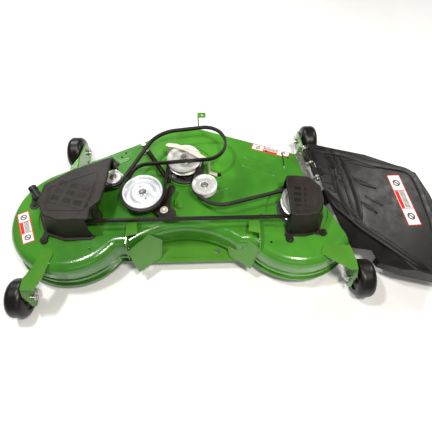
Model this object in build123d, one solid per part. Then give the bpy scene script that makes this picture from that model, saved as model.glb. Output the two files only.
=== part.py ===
from build123d import *
import math
import os

os.makedirs("parts", exist_ok=True)

# ---- driving dimensions (mm); +X mower's right, +Y forward, +Z up, origin on the ground plane
LIP_Z = 50.0            # bottom of the deck skirt above the wheels' ground line
TOP_Z = 178.0           # top face of the deck plateau
SHEET = 3.0             # deck sheet
LOBE_R = 236.0          # outside of the two rear lobes
SHOULDER_R = 38.0       # big rounded shoulder
LIP_OUT = 10.0          # how far the skirt's lip stands out
BEAD_OUT = 4.0          # stamped bead above the lip
SIDE_X = 445.0          # outer spindles from the middle
MID_Y = 212.0           # middle spindle ahead of the outer two
BLADE_R = 226.0
BELT_Z = 238.0          # belt plane
LOOP_Z = 277.0          # the slack loop rides above the middle sheave
SHEAVE_R = 70.0
SHAFT_R = 12.5
BELT_THICK = 10.0
BELT_WIDE = 16.0
BELT_GAP = 0.4          # belt stands this far off every rim
WHEEL_R = 73.0
WHEEL_W = 70.0
AXLE_R = 8.0
ROD_R = 6.0
FIT = 0.3
RUN = 0.05              # running fit on radius

SPINDLES = {"left": (-SIDE_X, 0.0), "center": (0.0, MID_Y), "right": (SIDE_X, 0.0)}
IDLER_BIG = (-158.0, 57.0)
IDLER_BIG_R = 78.0
IDLER_SMALL = (82.0, 81.0)
IDLER_SMALL_R = 49.0
IDLER_THIRD = (-280.0, 130.0)
IDLER_THIRD_R = 40.0
ARM_PIVOT = (-75.0, -10.0)
ARM_Z = 208.0
SPRING_END = (-46.0, 96.0)
SPRING_ANCHOR = (-182.0, 322.0)
SPRING_Z = 217.5
WHEELS = {"rl": (-612.0, -293.0), "rr": (682.0, -251.0), "fl": (-512.0, 397.0), "fr": (570.0, 441.0)}
PLATE_X = {"rl": -566.0, "rr": 631.0, "fl": -468.0, "fr": 521.0}
PLATE_T = 5.0
DISCHARGE = [(500.0, 300.0), (541.0, 60.0), (640.0, -166.0)]
HINGE_FROM = (514.0, 296.0, 199.0)
HINGE_TO = (551.0, 102.0, 199.0)
FRONT_DROP = 6.0        # the front band lies this much lower


def save(node, shape):
    solids = shape.solids()
    out = solids[0] if len(solids) == 1 else Compound(children=list(solids))
    out.label = node
    export_step(out, os.path.join("parts", node + ".step"))


def face(points, z=0.0, r=0.0):
    """Flat polygon at height z, corners rounded by r (or by each point's own third value)."""
    wire = Polyline(*[(p[0], p[1], 0) for p in points], close=True)
    sk = make_face(wire)
    if r:
        sk = fillet(sk.vertices(), r)
    for p in points:
        if len(p) > 2 and p[2]:
            near = sorted(sk.vertices(), key=lambda v: math.hypot(v.X - p[0], v.Y - p[1]))[0]
            sk = fillet(near, p[2])
    return Pos(0, 0, z) * sk


def slab(points, z0, z1, r=0.0):
    return extrude(face(points, z0, r), z1 - z0)


def post(x, y, z0, z1, r):
    return Pos(x, y, z0) * Cylinder(r, z1 - z0, align=(Align.CENTER, Align.CENTER, Align.MIN))


def tube(x, y, z0, z1, r, bore):
    return post(x, y, z0, z1, r) - post(x, y, z0 - 1, z1 + 1, bore)


def hexagon(x, y, z0, z1, flats):
    sk = Pos(x, y, z0) * RegularPolygon(flats / 2, 6, major_radius=False)
    return extrude(sk, z1 - z0)


def spun(x, y, points):
    """Solid of revolution from (radius, z) points about the vertical line at x, y."""
    sk = make_face(Polyline(*[(p[0], 0, p[1]) for p in points], close=True))
    return Pos(x, y, 0) * revolve(sk, Axis.Z, 360)


def plate3d(points, thick, up):
    """Flat plate whose face is the polygon through 3-D points (all in one plane)."""
    f = make_face(Polyline(*points, close=True))
    return extrude(f, thick, dir=up)


def along_x(x0, x1, y, z, r):
    return Pos(x0, y, z) * Rot(0, 90, 0) * Cylinder(r, x1 - x0, align=(Align.CENTER, Align.CENTER, Align.MIN))


# ---------------------------------------------------------------- deck shell
NOSE = [(-49.0, 455.0), (70.0, 455.0)]
FRONT_RIGHT = (645.0, 237.0)
REAR_Y = -140.0
ARCH_HALF = 205.0
ARCH_SAG = 73.0


def meet(p, a, q, b):
    """Point where the line through p with direction a meets the line through q with direction b."""
    det = a[0] * -b[1] + b[0] * a[1]
    t = ((q[0] - p[0]) * -b[1] + b[0] * (q[1] - p[1])) / det
    return p[0] + a[0] * t, p[1] + a[1] * t


def moved_chain(chain, g):
    """Open chain of points, clockwise seen from above, every side moved outward by g."""
    sides = []
    for p, q in zip(chain, chain[1:]):
        d = math.hypot(q[0] - p[0], q[1] - p[1])
        u = ((q[0] - p[0]) / d, (q[1] - p[1]) / d)
        sides.append(((p[0] - u[1] * g, p[1] + u[0] * g), u, (q[0] - u[1] * g, q[1] + u[0] * g)))
    out = [sides[0][0]]
    for one, two in zip(sides, sides[1:]):
        out.append(meet(one[0], one[1], two[0], two[1]))
    out.append(sides[-1][2])
    return out


def deck_outline(g=0.0):
    """Plan of the shell's wall, moved outward by g."""
    dx = NOSE[0][0] + SIDE_X
    dist = math.hypot(dx, NOSE[0][1])
    ang = math.atan2(NOSE[0][1], dx) + math.acos(LOBE_R / dist)
    tan = (-SIDE_X + LOBE_R * math.cos(ang), LOBE_R * math.sin(ang))
    end = (SIDE_X + LOBE_R - 1.0, 0.0)
    front = moved_chain([tan, *NOSE, FRONT_RIGHT, end], g)
    rear = REAR_Y - g
    body = face(front + [(SIDE_X, -20.0), (300.0, rear), (-300.0, rear), (-SIDE_X, -20.0)])
    sk = body + Pos(-SIDE_X, 0) * Circle(LOBE_R + g) + Pos(SIDE_X, 0) * Circle(LOBE_R + g)
    arch_r = (ARCH_HALF ** 2 + ARCH_SAG ** 2) / (2 * ARCH_SAG)
    arch_y = REAR_Y + ARCH_SAG - arch_r
    sk -= Pos(0, arch_y) * Circle(arch_r - g)
    sk = Sketch() + sk.faces().sort_by(Axis.Y)[-1]
    half = math.sqrt((arch_r - g) ** 2 - (rear - arch_y) ** 2)
    lobe_x = SIDE_X - math.sqrt((LOBE_R + g) ** 2 - rear ** 2)
    corners = [(front[1], 70.0 + g), (front[2], 90.0 + g), (front[3], 70.0 + g), ((-half, rear), 46.0 + g),
               ((half, rear), 46.0 + g), ((-lobe_x, rear), 22.0 - g), ((lobe_x, rear), 22.0 - g)]
    for at, r in corners:
        near = sorted(sk.vertices(), key=lambda v: math.hypot(v.X - at[0], v.Y - at[1]))[0]
        sk = fillet(near, r)
    return sk


FRONT_BAND = [(-700.0, 36.0), (-161.0, 300.0), (-72.0, 350.0), (90.0, 350.0), (190.0, 276.0),
              (421.0, 204.0), (421.0, 700.0), (-700.0, 700.0)]


def band_points(shift):
    return [(x, y + (shift if y < 600 else 0)) for x, y in FRONT_BAND[:5]] + \
           [(421.0 + shift, 204.0 + shift), (421.0 + shift, 700.0), (-700.0, 700.0)]


def deck_mass(gap):
    """Outside of the shell (gap 0) or its hollow (gap SHEET)."""
    base = deck_outline(-gap)
    z0 = LIP_Z - (5.0 if gap else 0.0)
    mass = extrude(Pos(0, 0, z0) * base, TOP_Z - gap - z0)
    mass = fillet(mass.faces().sort_by(Axis.Z)[-1].edges(), SHOULDER_R - gap)
    ring = extrude(Pos(0, 0, z0) * deck_outline(LIP_OUT - gap), 8.0 - gap + LIP_Z - z0)
    bead = extrude(Pos(0, 0, 78 + gap) * deck_outline(BEAD_OUT - gap), 14.0 - 2 * gap)
    mass = mass + ring + bead
    step = slab(band_points(-gap), TOP_Z - gap - FRONT_DROP, TOP_Z + 5, 0)
    mass -= step
    for x, y in SPINDLES.values():
        mass -= tube(x, y, TOP_Z - gap - 5.0, TOP_Z + 5, 122.0 + gap, 88.0 - gap)
    return mass


def discharge_cut():
    pts = DISCHARGE
    far = [(900.0, -166.0), (900.0, 420.0), (500.0, 420.0)]
    return slab(pts + far, 0, TOP_Z + 60)


def deck_shell():
    shell = deck_mass(0) - deck_mass(SHEET)
    shell -= discharge_cut()
    for x, y in SPINDLES.values():
        shell -= post(x, y, 100, 200, HOUSING_R + FIT)
        for a in range(4):
            shell -= post(x + 62 * math.cos(math.radians(45 + 90 * a)),
                          y + 62 * math.sin(math.radians(45 + 90 * a)), 160, 200, 5.0)
    for x, y in DECK_HOLES:
        shell -= post(x, y, 160, 190, 4.5)
    shell -= post(-596.0, 46.0, 150, 200, 8.0)
    for x, y in FIXED_POSTS:
        shell -= post(x, y, 150, 200, 6.1)
    return shell


HOUSING_R = 37.0
DECK_HOLES = [(-262.0, 309.0), (-277.0, 287.0), (-310.0, -92.0), (-350.0, -150.0), (330.0, -140.0),
              (352.0, 306.0), (440.0, 262.0), (300.0, -20.0), (200.0, 40.0), (-20.0, 20.0)]
FIXED_POSTS = [IDLER_SMALL, IDLER_THIRD, ARM_PIVOT]


# ---------------------------------------------------------------- spindles
def housing(x, y):
    body = post(x, y, TOP_Z, TOP_Z + 9, 80.0) + post(x, y, 114, 219, HOUSING_R)
    body += post(x, y, TOP_Z + 9, TOP_Z + 16, 52.0)
    for a in range(4):
        rib = Pos(x, y, TOP_Z + 9) * Rot(0, 0, 90 * a) * Pos(46, 0, 10) * Box(40, 8, 20)
        body += rib
    body = fillet(body.edges().filter_by(GeomType.CIRCLE).group_by(SortBy.RADIUS)[-1].sort_by(Axis.Z)[-1:], 3)
    body -= post(x, y, 100, 240, SHAFT_R + 5)
    body -= post(x, y, 113, 130.2, BEARING_R) + post(x, y, 203.8, 220, BEARING_R)
    for a in range(4):
        c = math.radians(45 + 90 * a)
        body -= post(x + 62 * math.cos(c), y + 62 * math.sin(c), 170, 190, 5.0)
    return body


BEARING_R = 26.0


def bearings():
    out = []
    for x, y in SPINDLES.values():
        for z0 in (115.0, 204.0):
            out.append(tube(x, y, z0, z0 + 15, BEARING_R - 0.02, SHAFT_R + RUN))
    return Compound(children=[b.solids()[0] for b in out])


def housing_bolts():
    out = []
    for x, y in SPINDLES.values():
        for a in range(4):
            c = math.radians(45 + 90 * a)
            bx = x + 62 * math.cos(c)
            by = y + 62 * math.sin(c)
            bolt = post(bx, by, 166, TOP_Z + 9, 4.5) + post(bx, by, TOP_Z + 9, TOP_Z + 10.5, 10.0)
            bolt += hexagon(bx, by, TOP_Z + 10.5, TOP_Z + 16.5, 13.0)
            bolt += hexagon(bx, by, 167.5, TOP_Z - SHEET, 13.0)
            out.append(bolt.solids()[0])
    return Compound(children=out)


def shaft(x, y):
    s = post(x, y, 92, 262, SHAFT_R) + post(x, y, 92, 114, 20.0)
    s += post(x, y, 220, 226, 20.0)
    s -= post(x, y, 90, 112, 6.0)
    return s


def sheave(x, y):
    half = BELT_WIDE / 2 + 0.4
    z = BELT_Z
    prof = [(SHAFT_R, z - 12), (24, z - 12), (24, z - 4), (48, z - 4), (56, z - 8), (60, z - 8), (SHEAVE_R, z - half - 4.2),
            (SHEAVE_R, z - half - 1.5), (58.0, z - 5.2), (58.0, z + 5.2), (SHEAVE_R, z + half + 1.5),
            (SHEAVE_R, z + half + 4.2), (60, z + 8), (56, z + 8), (48, z - 1), (24, z - 1), (24, z + 12), (SHAFT_R, z + 12)]
    return spun(x, y, prof)


def sheave_nut(x, y):
    nut = tube(x, y, BELT_Z + 12, BELT_Z + 14, 19.0, SHAFT_R) + (
        hexagon(x, y, BELT_Z + 14, BELT_Z + 23, 30.0) - post(x, y, BELT_Z + 5, BELT_Z + 30, SHAFT_R))
    return nut


BLADE_Z = 86.0


def blade(x, y, turn):
    w = 62.0
    body = Box(2 * BLADE_R - 6, w, 6, align=(Align.CENTER, Align.CENTER, Align.MIN))
    for s in (1, -1):
        tip = Pos(s * (BLADE_R - 45), -s * (w / 2 - 5), 0) * Box(84, 18, 12, align=(Align.CENTER, Align.CENTER, Align.MIN))
        body -= tip
        wing = face([(-42, 0), (42, 0), (42, 14), (-30, 14)], 0)
        wing = Pos(s * (BLADE_R - 47), s * (w / 2 - 9), 5.5) * Rot(0, 0, 0 if s > 0 else 180) * Rot(38, 0, 0) * extrude(wing, 5)
        body += wing
        lip = Pos(s * (BLADE_R - 45), -s * (w / 2 - 10), 0) * Box(84, 12, 3.0, align=(Align.CENTER, Align.CENTER, Align.MIN))
        body += lip
    ring = Cylinder(BLADE_R, 60)
    body = body & ring
    body -= Cylinder(6.2, 60)
    return Pos(x, y, BLADE_Z) * Rot(0, 0, turn) * body


def blade_bolt(x, y):
    bolt = post(x, y, BLADE_Z - 2.5, 108, 5.95) + post(x, y, BLADE_Z - 4.5, BLADE_Z, 24.0)
    bolt += hexagon(x, y, BLADE_Z - 14, BLADE_Z - 4.5, 24.0)
    return bolt


# ---------------------------------------------------------------- idlers and arm
def idler_big(x, y):
    z = BELT_Z
    prof = [(15.0 + 0.02, z - 9), (19, z - 9), (19, z - 1), (40, z - 1), (52, z - 7), (72, z - 7), (75.5, z - 4), (75.5, z - 11),
            (IDLER_BIG_R, z - 11), (IDLER_BIG_R, z + 9), (76, z + 11), (70, z + 11), (66, z - 4), (53, z - 4),
            (41, z + 2), (19, z + 2), (19, z + 6), (15.02, z + 6)]
    body = spun(x, y, prof)
    for a in (115, 295):
        c = math.radians(a)
        body -= post(x + 31 * math.cos(c), y + 31 * math.sin(c), z - 10, z + 10, 3.5)
    return body


def idler_flanged(x, y, r, top):
    z = BELT_Z
    run = r - 7.0
    lip = [(r, z + 10.2), (r, z + 12), (r - 4, z + 11)] if top else [(run, z + 10.5), (run - 3, z + 11)]
    prof = [(15.02, z - 10), (r - 3, z - 10.8), (r, z - 12), (r, z - 10.2), (run, z - 9), (run, z + 9), *lip,
            (r - 11, z + 7), (20, z + 7), (19, z + 8.5), (15.02, z + 8.5)]
    return spun(x, y, prof)


def bearing(x, y, z0):
    return tube(x, y, z0, z0 + 12, 15.0, 6.0 + RUN)


def idler_post(x, y, z0):
    p = post(x, y, 168, BELT_Z + 10, 6.0) + post(x, y, TOP_Z + z0, BELT_Z - 6, 10.0)
    p += post(x, y, BELT_Z + 6 + FIT, BELT_Z + 8.5, 11.0) + hexagon(x, y, BELT_Z + 8.5, BELT_Z + 15, 17.0)
    p += hexagon(x, y, 165, TOP_Z - SHEET + (z0 if z0 < 0 else 0), 18.0)
    return p


def arm_plate():
    bx, by = IDLER_BIG
    px, py = ARM_PIVOT
    sx, sy = SPRING_END
    pts = [(bx - 6, by - 17), (px - 14, py - 30), (px + 8, py - 36), (px + 44, py - 30), (px + 46, py - 6), (px + 24, py + 14),
           (sx - 4, sy - 42), (sx + 12, sy - 4), (sx + 2, sy + 12), (sx - 14, sy + 8), (px - 14, sy - 36),
           (bx + 18, by + 14), (bx - 10, by + 14)]
    plate = slab(pts, ARM_Z, ARM_Z + 5, 5.5)
    plate -= post(px, py, 200, 220, 10.0 + RUN)
    plate -= post(bx, by, 200, 220, 6.0)
    for hx, hy in ((px + 25, py - 6), (px + 38, py - 11)):
        plate -= post(hx, hy, 200, 220, 3.0)
    plate -= post(sx, sy, 200, 220, 3.6)
    plate += tube(px, py, ARM_Z - 12, ARM_Z, 16.0, 10.0 + RUN)
    return plate


def arm_pivot():
    x, y = ARM_PIVOT
    p = post(x, y, TOP_Z, ARM_Z + 5.6, 10.0) + post(x, y, 168, TOP_Z, 6.0)
    p += hexagon(x, y, 165, TOP_Z - SHEET, 18.0)
    p += post(x, y, TOP_Z, ARM_Z - 12.4, 15.0)
    cap = post(x, y, ARM_Z + 5.4, ARM_Z + 8, 15.0) + Pos(x, y, ARM_Z + 7) * Sphere(11.5)
    cap -= Pos(x, y, ARM_Z - 15) * Box(60, 60, 40.8)
    return p + cap


def idler_big_bolt():
    x, y = IDLER_BIG
    p = post(x, y, ARM_Z - 9, BELT_Z + 8, 6.0) + post(x, y, ARM_Z + 5, BELT_Z - 6, 9.0)
    p += hexagon(x, y, ARM_Z - 8, ARM_Z, 18.0)
    p += post(x, y, BELT_Z + 6.2, BELT_Z + 8, 12.0) + hexagon(x, y, BELT_Z + 8, BELT_Z + 14, 17.0)
    return p


def tension_spring():
    """Close-wound coil as a ridged sleeve, with a pin at the arm's end and an eye at the stud's."""
    ax, ay = SPRING_ANCHOR
    sx, sy = SPRING_END
    full = math.hypot(ax - sx, ay - sy)
    turn = math.degrees(math.atan2(ay - sy, ax - sx))
    wire_r = 1.6
    pitch = 3.4
    start = 26.0
    count = int((full - 78.0) / pitch)
    ridges = []
    for k in range(count):
        ridges += [(start + k * pitch, 8.6), (start + (k + 0.5) * pitch, 10.1)]
    end = start + count * pitch
    outline = [(start, 6.6), *ridges, (end, 8.6), (end, 6.6)]
    wall = make_face(Polyline(*[(x, r, 0) for x, r in outline], close=True))
    coil = revolve(wall, Axis.X, 360)
    ends = Pos(start, 0, 0) * Rot(0, 90, 0) * Cylinder(8.2, 3) + Pos(end, 0, 0) * Rot(0, 90, 0) * Cylinder(8.2, 3)
    rods = Pos(-1, 0, 0) * Rot(0, 90, 0) * Cylinder(wire_r, start + 1, align=(Align.CENTER, Align.CENTER, Align.MIN))
    rods += Pos(end, 0, 0) * Rot(0, 90, 0) * Cylinder(
        wire_r, full - 17.5 - end, align=(Align.CENTER, Align.CENTER, Align.MIN))
    hook = Pos(0, 0, -4) * Cylinder(2.4, 10)
    eye = Pos(full - 9.2, 0, 0) * Torus(9.2, wire_r)
    body = coil + ends + rods + hook + eye
    return Pos(sx, sy, SPRING_Z) * Rot(0, 0, turn) * body


def spring_anchor():
    x, y = SPRING_ANCHOR
    sx, sy = SPRING_END
    full = math.hypot(x - sx, y - sy)
    cx = x - (x - sx) / full * 9.2
    cy = y - (y - sy) / full * 9.2
    z0 = TOP_Z - FRONT_DROP
    p = post(cx, cy, z0, z0 + 6, 14.0) + post(cx, cy, z0 + 6, SPRING_Z + 5, 6.4)
    p += post(cx, cy, SPRING_Z + 5, SPRING_Z + 8, 10.0)
    return p


# ---------------------------------------------------------------- belt
def belt_circles():
    """Wheels the belt goes round, in order: x, y, centre-line radius, sense (-1 clockwise), height."""
    v = SHEAVE_R - 1.6 - BELT_THICK / 2
    flat = BELT_GAP + BELT_THICK / 2
    lx, ly = SPINDLES["left"]
    mx, my = SPINDLES["center"]
    rx, ry = SPINDLES["right"]
    return [(lx, ly, v, -1, BELT_Z),
            (*IDLER_THIRD, IDLER_THIRD_R - 7 + flat, 1, BELT_Z),
            (-20.0, 200.0, 140.0, -1, LOOP_Z),
            (85.0, 268.0, 85.0, -1, LOOP_Z),
            (-140.0, 110.0, 72.0, 1, BELT_Z + 20.5),
            (*IDLER_BIG, IDLER_BIG_R + flat, 1, BELT_Z),
            (mx, my, v, -1, BELT_Z),
            (*IDLER_SMALL, IDLER_SMALL_R - 7 + flat, 1, BELT_Z),
            (150.0, 105.0, 112.0, 1, BELT_Z),
            (rx, ry, v, -1, BELT_Z)]


def tangent(a, b):
    """Straight run leaving circle a and meeting circle b, each with its own sense."""
    ax, ay, ar, asn, _ = a
    bx, by, br, bsn, _ = b
    dx = bx - ax
    dy = by - ay
    d = math.hypot(dx, dy)
    base = math.atan2(dy, dx)
    k = (asn * ar - bsn * br) / d
    # direction of travel h satisfies: normal offset of both circles is equal
    head = base + math.asin(k)
    n = (math.sin(head), -math.cos(head))
    p = (ax + asn * ar * n[0], ay + asn * ar * n[1])
    q = (bx + bsn * br * n[0], by + bsn * br * n[1])
    return p, q, head


def belt_section(p, head, z, inner):
    """Upright V section at p, narrow side toward the inside of the loop."""
    t = BELT_THICK / 2
    n = (math.sin(head) * inner, -math.cos(head) * inner)
    wide = BELT_WIDE / 2
    slim = 5.0
    pts = [(-t, wide), (t, slim), (t, -slim), (-t, -wide)]
    out = [(p[0] + n[0] * u, p[1] + n[1] * u, z + v) for u, v in pts]
    return make_face(Polyline(*out, close=True))


def drive_belt():
    wheels = belt_circles()
    count = len(wheels)
    runs = [tangent(wheels[i], wheels[(i + 1) % count]) for i in range(count)]
    parts = []
    for i in range(count):
        p, q, head = runs[i]
        z0 = wheels[i][4]
        z1 = wheels[(i + 1) % count][4]
        sec = belt_section(p, head, z0, 1)
        move = Vector(q[0] - p[0], q[1] - p[1], z1 - z0)
        parts.append(extrude(sec, move.length, dir=move))
    for i in range(count):
        x, y, r, sense, z = wheels[i]
        _, start, head0 = runs[i - 1]
        head1 = runs[i][2]
        sweep_angle = math.degrees(head1 - head0) * sense
        sweep_angle %= 360.0
        sec = belt_section(start, head0, z, 1)
        axis = Axis((x, y, z), (0, 0, sense))
        parts.append(revolve(sec, axis, sweep_angle))
    body = parts[0]
    for piece in parts[1:]:
        body = body + piece
    return body


# ---------------------------------------------------------------- covers
def lofted(low, low_z, high, high_z, r_low, r_high):
    a = face(low, low_z, r_low)
    b = face(high, high_z, r_high)
    return loft([a.faces()[0], b.faces()[0]])


def shell_of(low, high, z0, z1, r_low, r_high, wall, rim):
    outer = lofted(low, z0, high, z1, r_low, r_high)
    outer = fillet(outer.faces().sort_by(Axis.Z)[-1].edges(), 5.0)
    drop = 0.02 * (z1 - z0)
    low_in = offset(face(low, 0, r_low), amount=-wall, kind=Kind.INTERSECTION)
    high_in = offset(face(high, 0, r_high), amount=-wall - 1.0, kind=Kind.INTERSECTION)
    inner = loft([(Pos(0, 0, z0 - drop) * low_in).faces()[0], (Pos(0, 0, z1 - wall) * high_in).faces()[0]])
    flange = extrude(Pos(0, 0, z0) * offset(face(low, 0, r_low), amount=rim, kind=Kind.ARC), wall)
    return outer + flange - inner


COVER_LOW = 179.0 + FIT
L_COVER_TOP = [(-280.0, 196.0), (-291.0, 51.0), (-301.0, -7.0), (-333.0, -38.0), (-333.0, -86.0), (-446.0, -86.0),
               (-500.0, -66.0), (-530.0, -6.0), (-521.0, 70.0), (-430.0, 134.0)]
L_COVER_LOW = [(-292.0, 240.0), (-299.0, 51.0), (-309.0, -7.0), (-341.0, -38.0), (-341.0, -104.0), (-450.0, -104.0),
               (-519.0, -78.0), (-552.0, -6.0), (-540.0, 84.0), (-440.0, 156.0)]
R_COVER_TOP = [(396.0, 92.0), (434.0, 92.0), (484.0, 84.0), (524.0, 40.0), (526.0, -30.0), (500.0, -80.0), (460.0, -86.0),
               (398.0, -86.0)]
R_COVER_LOW = [(392.0, 98.0), (436.0, 98.0), (490.0, 90.0), (534.0, 44.0), (537.0, -36.0), (510.0, -104.0), (462.0, -112.0),
               (393.0, -112.0)]
COVER_FEET = {"left": [(-524.0, -112.0), (-545.0, 128.0), (-318.0, 262.0)],
              "right": [(400.0, -132.0), (530.0, -108.0)]}


def cover_left():
    body = shell_of(L_COVER_LOW, L_COVER_TOP, COVER_LOW, 292.0, 14, 12, 3.0, 9.0)
    open_side = slab([(-349.0, -96.0), (-200.0, -96.0), (-200.0, 190.0), (-297.0, 190.0), (-304.0, 44.0), (-318.0, -20.0), (-349.0, -46.0)],
                     170, 284)
    body -= open_side
    body = body.solids().sort_by(SortBy.VOLUME)[-1]
    body += cover_feet("left")
    panel = face([(-497.0, -52.0), (-360.0, -58.0), (-346.0, -46.0), (-318.0, 100.0), (-330.0, 124.0), (-500.0, 52.0)], 291.0, 9)
    frame = face([(-490.0, -46.0), (-364.0, -51.0), (-353.0, -42.0), (-326.0, 100.0), (-335.0, 115.0), (-493.0, 48.0)], 291.0, 8)
    body -= extrude(panel - frame, 2)
    return body


def cover_right():
    body = shell_of(R_COVER_LOW, R_COVER_TOP, COVER_LOW, 284.0, 12, 12, 3.0, 6.0)
    body -= slab([(380.0, -78.0), (405.0, -78.0), (405.0, 80.0), (380.0, 80.0)], 170, 274)
    body = body.solids().sort_by(SortBy.VOLUME)[-1]
    body += cover_feet("right")
    panel = face([(408.0, 76.0), (470.0, 72.0), (508.0, 34.0), (511.0, -26.0), (490.0, -66.0), (410.0, -72.0)], 283.0, 10)
    frame = face([(413.0, 71.0), (468.0, 67.0), (503.0, 32.0), (506.0, -25.0), (487.0, -61.0), (414.0, -67.0)], 283.0, 8)
    body -= extrude(panel - frame, 2)
    badge = extrude(Plane.XZ.offset(92.0) * Pos(455, 225) * Polygon((-16, -9), (16, -9), (8, 10), (-8, 10)), 8)
    wall = lofted(R_COVER_LOW, COVER_LOW, R_COVER_TOP, 284.0, 12, 12)
    grow = Pos(0, -1.6, 0) * wall
    body += (badge & grow) - wall
    return body


def cover_feet(side):
    low = L_COVER_LOW if side == "left" else R_COVER_LOW
    hollow = offset(face(low, 0, 12), amount=-3.0, kind=Kind.INTERSECTION)
    feet = None
    for x, y in COVER_FEET[side]:
        near = min(low, key=lambda p: math.hypot(p[0] - x, p[1] - y))
        link = slab([(x - 9, y - 9), (x + 9, y - 9), (x + 9, y + 9), (x - 9, y + 9)], COVER_LOW, COVER_LOW + 6, 4)
        foot = post(x, y, COVER_LOW, COVER_LOW + 9, 14.0) + link
        reach = Line((x, y), (near[0], near[1]))
        turn = math.degrees(math.atan2(near[1] - y, near[0] - x))
        arm = Pos((x + near[0]) / 2, (y + near[1]) / 2, COVER_LOW) * Rot(0, 0, turn) * Box(
            reach.length + 10, 22, 5, align=(Align.CENTER, Align.CENTER, Align.MIN))
        foot = foot + arm - post(x, y, COVER_LOW - 1, COVER_LOW + 20, 4.6)
        foot -= extrude(Pos(0, 0, COVER_LOW - 2) * hollow, 20)
        feet = foot if feet is None else feet + foot
    return feet


def cover_screws():
    out = []
    for side in ("left", "right"):
        for x, y in COVER_FEET[side]:
            s = post(x, y, COVER_LOW - 0.2, COVER_LOW + 9, 4.2) + post(x, y, COVER_LOW + 9, COVER_LOW + 10.5, 10.0)
            s += hexagon(x, y, COVER_LOW + 10.5, COVER_LOW + 16, 13.0)
            out.append(s.solids()[0])
    return Compound(children=out)


# ---------------------------------------------------------------- brackets and fittings
LIFT_MIRROR_X = 38.0
B_FACE = [(-209.0, -163.0, 170.0), (-133.0, -94.0, 178.0), (-89.0, -94.0, 125.0), (-95.0, -143.0, 60.0),
          (-134.0, -168.0, 70.0), (-177.0, -203.0, 72.0)]


LIFT_FRONT_Y = -46.0    # front end of the lift brackets, under the belt's rear run
LIFT_TOP_Z = BELT_Z - BELT_WIDE / 2 - 7.0


def lift_bracket(mass, mirror_x):
    x0 = -207.0
    upright = [(LIFT_FRONT_Y, TOP_Z - 4), (LIFT_FRONT_Y, LIFT_TOP_Z), (-96.0, LIFT_TOP_Z), (-150.0, 214.0), (-164.0, 182.0), (-172.0, 120.0),
               (-128.0, 100.0)]
    side = extrude(Plane.YZ.offset(x0 - 4) * make_face(Polyline(*upright, close=True)), 4)
    slot = extrude(Plane.YZ.offset(x0 - 6) * Pos(-140, 178) * Rot(0, 0, 74) * SlotOverall(34, 11), 8)
    cap = slab([(x0 - 4, LIFT_FRONT_Y), (x0 + 30, LIFT_FRONT_Y), (x0 + 40, -112.0), (x0 - 4, -124.0)],
               LIFT_TOP_Z - 4, LIFT_TOP_Z)
    p = [Vector(*q) for q in B_FACE]
    normal = (p[2] - p[0]).cross(p[4] - p[0]).normalized()
    if normal.Z < 0:
        normal = normal * -1
    flat = []
    for q in p:
        off = (q - p[0]).dot(normal)
        flat.append(q - normal * off)
    gusset = plate3d([tuple(q) for q in flat], 4.0, -1 * normal)
    body = side + cap + gusset - slot
    if mirror_x is not None:
        body = mirror(body, Plane.YZ.offset(mirror_x))
    body = body - mass
    return body.solids().sort_by(SortBy.VOLUME)[-1]


def rear_center_plate(mass):
    pts = [(-150.0, -160.0), (238.0, -160.0), (218.0, -100.0), (110.0, -60.0), (-110.0, -60.0), (-170.0, -110.0)]
    plate = slab(pts, LIP_Z + 8, LIP_Z + 11)
    bar = slab([(-88.0, -142.0), (150.0, -142.0), (150.0, -136.0), (-88.0, -136.0)], LIP_Z + 11, LIP_Z + 13)
    plate = plate + bar
    plate -= post(128.0, -118.0, 40, 80, 10.0)
    plate -= mass
    return plate.solids().sort_by(SortBy.VOLUME)[-1]


def wheel_plate(tag):
    x = PLATE_X[tag]
    wx, wy = WHEELS[tag]
    rear = wy < 0
    if rear:
        pts = [(wy + 34, TOP_Z), (wy - 10, TOP_Z), (wy - 26, 150.0), (wy - 30, 60.0), (wy - 16, 32.0), (wy + 16, 32.0),
               (wy + 30, 60.0), (wy + 38, 130.0)]
    else:
        root = 262.0 if tag == "fl" else 292.0
        pts = [(root - 12, 150.0), (root + 40, 158.0), (wy + 26, 120.0), (wy + 28, 60.0), (wy + 14, 34.0),
               (wy - 20, 34.0), (wy - 40, 62.0), (root - 12, 84.0)]
    sk = fillet(make_face(Polyline(*pts, close=True)).vertices(), 7)
    plate = extrude(Plane.YZ.offset(x - PLATE_T / 2) * sk, PLATE_T)
    plate -= along_x(x - 10, x + 10, wy, WHEEL_R, AXLE_R + 0.1)
    for dy, dz in ((-9, -22), (9, -26), (0, 24)):
        plate -= along_x(x - 10, x + 10, wy + dy, WHEEL_R + dz, 4.5)
    return plate


def wheel_bracket(tag, mass):
    plate = wheel_plate(tag)
    if tag == "rl":
        arm = slab([(-508.0, -140.0), (-478.0, -160.0), (-490.0, -214.0), (-500.0, -262.0), (-522.0, -306.0),
                    (-568.5, -306.0), (-568.5, -262.0), (-548.0, -226.0), (-531.0, -184.0)], TOP_Z, TOP_Z + 5, 6)
        plate = plate + arm
    if tag == "rr":
        arm = slab([(524.0, -160.0), (622.0, -163.0), (633.5, -222.0), (633.5, -262.0), (606.0, -258.0), (508.0, -192.0)],
                   TOP_Z, TOP_Z + 5, 5)
        plate = plate + arm
    if tag in ("fl", "fr"):
        x = PLATE_X[tag]
        wy = WHEELS[tag][1]
        root = 262.0 if tag == "fl" else 292.0
        foot = slab([(x - 40, root - 30), (x + 2.5, root - 30), (x + 2.5, root + 66), (x - 10, root + 66), (x - 40, root + 10)],
                    128, 133, 0)
        plate = plate + foot
    body = plate - mass
    return body.solids().sort_by(SortBy.VOLUME)[-1]


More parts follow.
